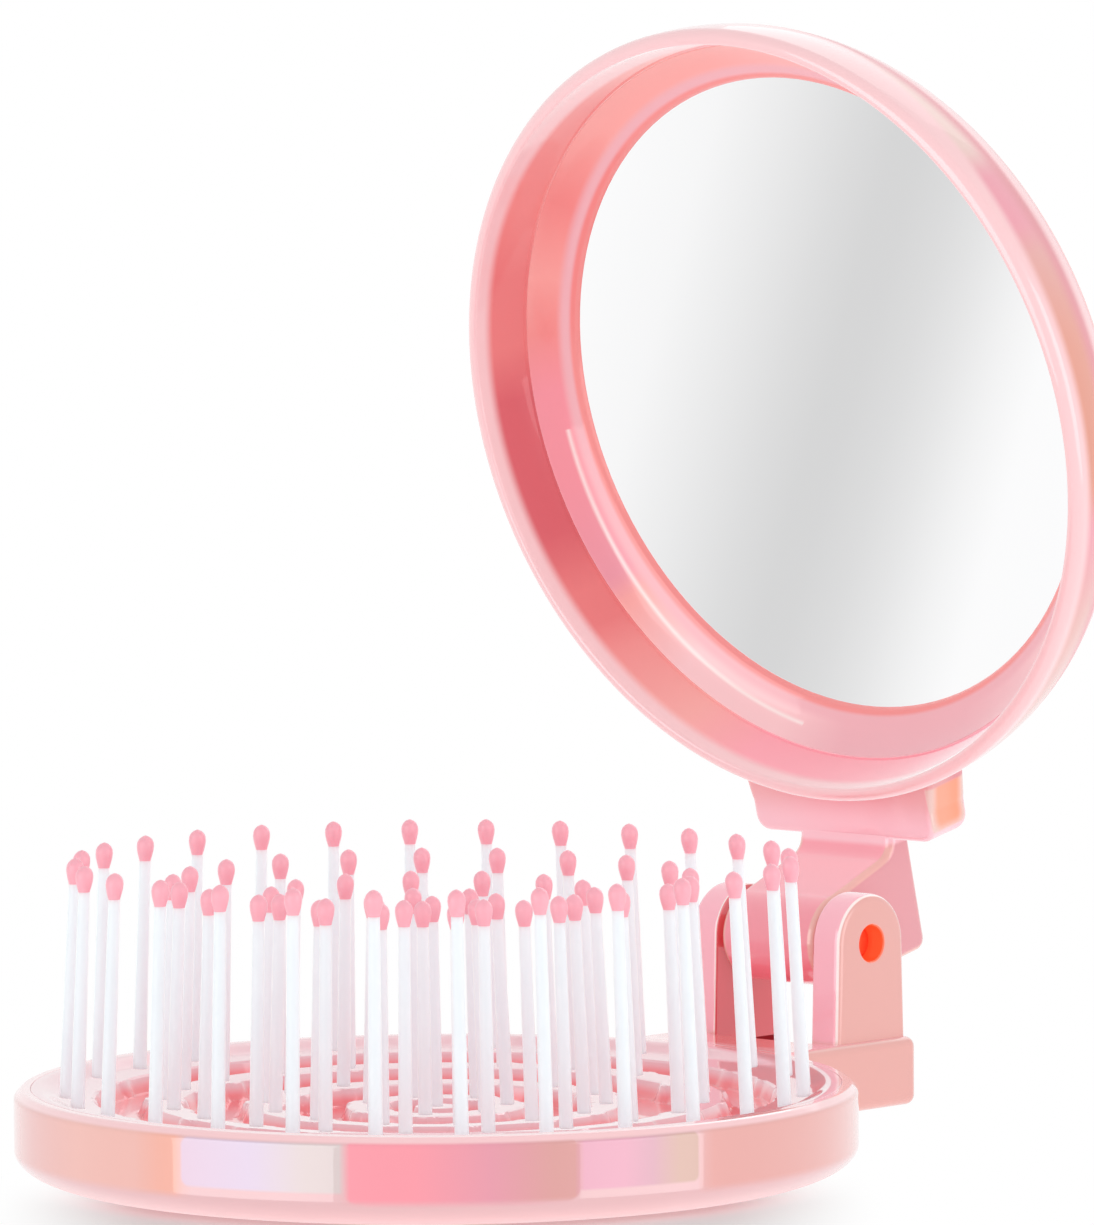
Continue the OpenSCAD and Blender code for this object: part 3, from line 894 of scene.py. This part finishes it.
def islands(node):
    """The box of each separate solid of a node, as (lowest corner, highest corner)."""
    bm = bmesh.new()
    bm.from_mesh(frame["nodes"][node].data)
    bmesh.ops.remove_doubles(bm, verts=bm.verts, dist=WELD)
    left = set(bm.verts)
    found = []
    while left:
        group, edge = set(), [left.pop()]
        while edge:
            vert = edge.pop()
            group.add(vert)
            for link in vert.link_edges:
                other = link.other_vert(vert)
                if other in left:
                    left.discard(other)
                    edge.append(other)
        low = Vector([min(v.co[i] for v in group) for i in range(3)])
        high = Vector([max(v.co[i] for v in group) for i in range(3)])
        found.append((low, high))
    bm.free()
    return sorted(found, key=lambda b: math.atan2(b[0].y + b[1].y, b[0].x + b[1].x))


# Bristles. Sizes from here on are in metres, as their solids are.
ROUND = 16
SHAFT_R = 0.55 * MM
SHAFT_STEPS = 6
NECK_R = 0.45 * MM
NECK_RISE = 0.12 * MM
BEAD_R = 0.68 * MM
BEAD_CREASE = math.radians(50)
# Drop shape of a bead: (share of its height, share of its radius).
BEAD_SHAPE = ((0.0, 0.62), (0.12, 0.7), (0.28, 0.84), (0.44, 0.95), (0.6, 1.0), (0.74, 0.95),
              (0.86, 0.77), (0.95, 0.47), (1.0, 0.1))
# Feet stand a little outside their solids' middles and sink into the plate. Tips are drawn
# towards the middle, drift one way together, and scatter.
FOOT_SPREAD = 1.018
FOOT_SINK = 1.2 * MM
TIP_DRAW = 0.985
TIP_PULL = 0.55 * MM
TIP_DRIFT = Vector((-0.5, 0.3, 0)) * MM
SCATTER = 0.1 * MM


def tube(bm, spine, radii):
    """Adds a closed round body along the points of a spine, one radius at each."""
    turns = [math.tau * k / ROUND for k in range(ROUND)]
    rings = [ring_of(bm, [point + Vector((math.cos(turn), math.sin(turn), 0)) * radius
                          for turn in turns]) for point, radius in zip(spine, radii)]
    for lower, upper in zip(rings, rings[1:]):
        bridge(bm, lower, upper)
    bm.faces.new(list(reversed(rings[0])))
    bm.faces.new(rings[-1])


def bristles(ring, draw):
    """One ring of shafts and their beads. Each leans a little its own way."""
    shafts, beads = bmesh.new(), bmesh.new()
    for pin, tip in zip(islands(f"pins_{ring}"), islands(f"beads_{ring}")):
        foot = (pin[0] + pin[1]) / 2 * FOOT_SPREAD
        out = math.hypot(foot.x, foot.y)
        foot.z = plate_height(foot.x / MM, foot.y / MM, out / MM, ()) * MM - FOOT_SINK
        top = tip[1].z
        drawn = Vector((foot.x, foot.y, 0)) * (TIP_DRAW - 1 - TIP_PULL / max(out, 10 * TIP_PULL))
        lean = TIP_DRIFT + drawn + Vector((draw.uniform(-1, 1), draw.uniform(-1, 1), 0)) * SCATTER

        def along(height):
            share = (height - foot.z) / (top - foot.z)
            return Vector((foot.x, foot.y, height)) + lean * share

        neck = tip[0].z + NECK_RISE
        shares = [k / SHAFT_STEPS for k in range(SHAFT_STEPS + 1)]
        tube(shafts, [along(foot.z + (neck - foot.z) * share) for share in shares],
             [SHAFT_R + (NECK_R - SHAFT_R) * share for share in shares])
        tube(beads, [along(tip[0].z + (top - tip[0].z) * up) for up, _ in BEAD_SHAPE],
             [BEAD_R * wide for _, wide in BEAD_SHAPE])
    made = []
    for bm, kind in ((shafts, "shafts"), (beads, "tips")):
        mesh = bpy.data.meshes.new(f"{ring}_{kind}")
        bmesh.ops.recalc_face_normals(bm, faces=bm.faces)
        bm.to_mesh(mesh)
        bm.free()
        smooth(mesh, BEAD_CREASE)
        made.append(mesh)
    return made


# --------------------------------------------------------------- the stage


# Lamp panels stand this far, in metres, from a point above the disc.
PANEL_DISTANCE = 0.6
PANEL_AIM = Vector((0, 0.02, 0.03))


def panel(name, side, rise, width, height, radiance, gloss):
    """A lamp panel: a softbox that gloss shows, or a soft light that it doesn't.

    side is its angle to the right of the front, and rise its angle above the floor.
    """
    side, rise = math.radians(side), math.radians(rise)
    level = Vector((VIEW_BACK.x, VIEW_BACK.y, 0)).normalized()
    out = (level * math.cos(side) + VIEW_RIGHT * math.sin(side)) * math.cos(rise)
    out += Vector((0, 0, math.sin(rise)))
    data = bpy.data.lights.new(name, "AREA")
    data.shape = "RECTANGLE"
    data.size, data.size_y = width, height
    data.energy = 4 * width * height * radiance
    lamp = bpy.data.objects.new(name, data)
    bpy.context.scene.collection.objects.link(lamp)
    lamp.location = PANEL_AIM + out * PANEL_DISTANCE
    lamp.rotation_mode = "QUATERNION"
    lamp.rotation_quaternion = out.to_track_quat("Z", "Y")
    lamp.visible_camera = False
    lamp.visible_glossy = gloss
    lamp.visible_diffuse = not gloss


def seen_share(g):
    """1 for rays from the camera and through or off glossy surfaces, 0 for soft light."""
    rays = [g.node("ShaderNodeLightPath", output=n)
            for n in ("Is Camera Ray", "Is Glossy Ray", "Is Transmission Ray")]
    return rays[0].maths("MAXIMUM", rays[1]).maths("MAXIMUM", rays[2])


SOFT_LEVEL = 0.62

# The grey sheet that the mirror shows: its grey levels by pixels to the right of its middle, how
# many pixels that lies right of the picture's middle, its slant, the stretch of its ramp, and
# where it ends.
SHEET = ((-300, 255), (-200, 250), (-130, 238), (-60, 224), (-15, 217), (15, 217), (60, 223),
         (100, 232), (150, 246), (195, 255))
SHEET_MIDDLE = 231.5
SHEET_SLANT = 0.28
SHEET_STRETCH = 10
SHEET_END = (0.985, 0.992)


def make_world():
    """White surroundings, with a grey sheet in front of the mirror and a soft level of light."""
    world = bpy.data.worlds.new("studio")
    bpy.context.scene.world = world
    g = Graph(world)
    way = g.node("ShaderNodeTexCoord", output="Generated")
    glass = IN_LID.to_3x3() @ Vector((0, 0, -1))
    across = VIEW_RIGHT - 2 * VIEW_RIGHT.dot(glass) * glass
    top = VIEW_BACK.cross(VIEW_RIGHT)
    upward = top - 2 * top.dot(glass) * glass
    middle = -VIEW_BACK + 2 * VIEW_BACK.dot(glass) * glass
    along = g.dot(way, across - SHEET_SLANT * upward)
    stops = tuple((0.5 + (px + SHEET_MIDDLE) / FOCAL_PX * SHEET_STRETCH, colour(level, level, level))
                  for px, level in SHEET)
    sheet = g.node("ShaderNodeValToRGB", {"stops": stops}, {"Fac": along * SHEET_STRETCH + 0.5})
    inside = g.dot(way, middle).part(*SHEET_END)
    seen = g.mix(inside, (1, 1, 1, 1), sheet)
    bright = g.node("ShaderNodeBackground", {}, {"Color": seen, "Strength": 1.0})
    soft = g.node("ShaderNodeBackground", {}, {"Color": (1, 1, 1, 1), "Strength": SOFT_LEVEL})
    both = g.node("ShaderNodeMixShader", {}, {0: seen_share(g), 1: soft, 2: bright})
    g.close("ShaderNodeOutputWorld", both)


FLOOR_WIDE = 6.0
FLOOR_GREY = (0.8, 0.8, 0.8)
# How brightly the floor shines where it is seen near the object, and for soft light.
FLOOR_GLOW, FLOOR_BOUNCE = 0.07, 0.4


def make_floor():
    """A wide white floor that keeps the object's soft shadow close to it."""
    mesh = bpy.data.meshes.new("floor")
    bm = bmesh.new()
    bmesh.ops.create_circle(bm, cap_ends=True, segments=96, radius=FLOOR_WIDE)
    bm.to_mesh(mesh)
    bm.free()
    floor = bpy.data.objects.new("floor", mesh)
    bpy.context.scene.collection.objects.link(floor)
    made = bpy.data.materials.new("white floor")
    g = Graph(made)
    here = g.place()
    x, y = g.axis(here, "X"), g.axis(here, "Y")
    forward = g.dot(here, VIEW_BACK)
    aside = g.dot(here, VIEW_RIGHT).maths("ABSOLUTE")
    near = (1 - (x * x + y * y).maths("SQRT").part(0.032, 0.056)) * forward.part(0.0, 0.02)
    near = near * (1 - aside.part(0.02, 0.034))
    matt = g.node("ShaderNodeBsdfDiffuse", {}, {"Color": rgba(FLOOR_GREY)})
    glow, bounce = (g.node("ShaderNodeEmission", {}, {"Color": (1, 1, 1, 1), "Strength": level})
                    for level in (FLOOR_GLOW, FLOOR_BOUNCE))
    white = g.node("ShaderNodeEmission", {}, {"Color": (1, 1, 1, 1), "Strength": 1.0})
    lifted = g.node("ShaderNodeAddShader", {}, {0: matt, 1: glow})
    shown = g.node("ShaderNodeMixShader", {}, {0: near, 1: white, 2: lifted})
    unseen = g.node("ShaderNodeAddShader", {}, {0: matt, 1: bounce})
    both = g.node("ShaderNodeMixShader", {}, {0: seen_share(g), 1: unseen, 2: shown})
    g.close("ShaderNodeOutputMaterial", both)
    mesh.materials.append(made)
    floor.visible_glossy = False


# ------------------------------------------------------------------- build

bpy.context.scene.view_settings.view_transform = "Standard"
place_camera()
make_world()
make_floor()
# Angle to the right, angle up, width, height, strength, and whether gloss shows the panel.
panel("left softbox", -49.5, 4, 0.51, 0.52, 1.4, True)
panel("right softbox", 55.4, 4, 0.41, 0.52, 1.2, True)
panel("back softbox", 160, 40, 0.40, 0.36, 0.3, True)
panel("left light", -50, 14, 0.60, 0.60, 0.42, False)
panel("right light", 55, 20, 0.50, 0.60, 0.66, False)

RINGS = ("centre", "inner", "middle", "outer", "rim")
feet = []
for ring_name in RINGS:
    spots = [(low + high) / 2 * FOOT_SPREAD / MM for low, high in islands(f"pins_{ring_name}")]
    land_r = RIM_LAND_R if ring_name == "rim" else LAND_R
    feet.append((math.hypot(*spots[0].xy), land_r, [tuple(spot.xy) for spot in spots]))

even(new_piece("brush_body", brush_body(), brush_pearl("pearl pink of the brush"), "brush",
               "shell", "brush_shell"))
new_piece("bristle_plate", plate_body(feet), plate_pearl("pearl pink of the plate"),
          "brush", "face_plate", "face_plate")
cup_piece = new_piece("lid_body", lid_body(), lid_pearl("pearl pink of the lid", WALL_TINTS),
                      "lid", "shell", "lid_shell")
even(cup_piece)
ring_finish = lid_pearl("pearl pink of the ring", RING_TINTS)
frame_piece = finished("mirror_ring", "mirror_frame", ring_finish, "shell", 0.15 * MM)
cup_piece.visible_glossy = False
frame_piece.visible_glossy = False
finished("mirror", "mirror_glass", silvered("silvered glass"), "mirror", 0.1 * MM, 2)
# The pin is tinted orange red so that the bores look orange: painted light on a metal pin.
finished("hinge_pin", "copper_pin", plain("copper red metal", PIN_ORANGE, 0.3, 1.0),
         "hinge_pin", 0.1 * MM, 2)
finished("bristle_retainer", "retainer_disc", plain("dull white plastic", DULL_WHITE, 0.5),
         "retainer", 0)
finished("mirror_tape", "mirror_pad", plain("foam tape", FOAM_WHITE, 0.8), "tape", 0)

shaft_finish = nylon("milky nylon")
tip_finish = bead_finish("pink bead")
draw = random.Random(7)
for ring_name in RINGS:
    shafts, tips = bristles(ring_name, draw)
    for mesh, name, finish, slot, node in (
            (shafts, "bristles", shaft_finish, "bristle", "pins"),
            (tips, "bristle_tips", tip_finish, "bead", "beads")):
        made = new_piece(f"{name}_{ring_name}", mesh, finish, "brush", slot, f"{node}_{ring_name}")
        made.visible_glossy = False
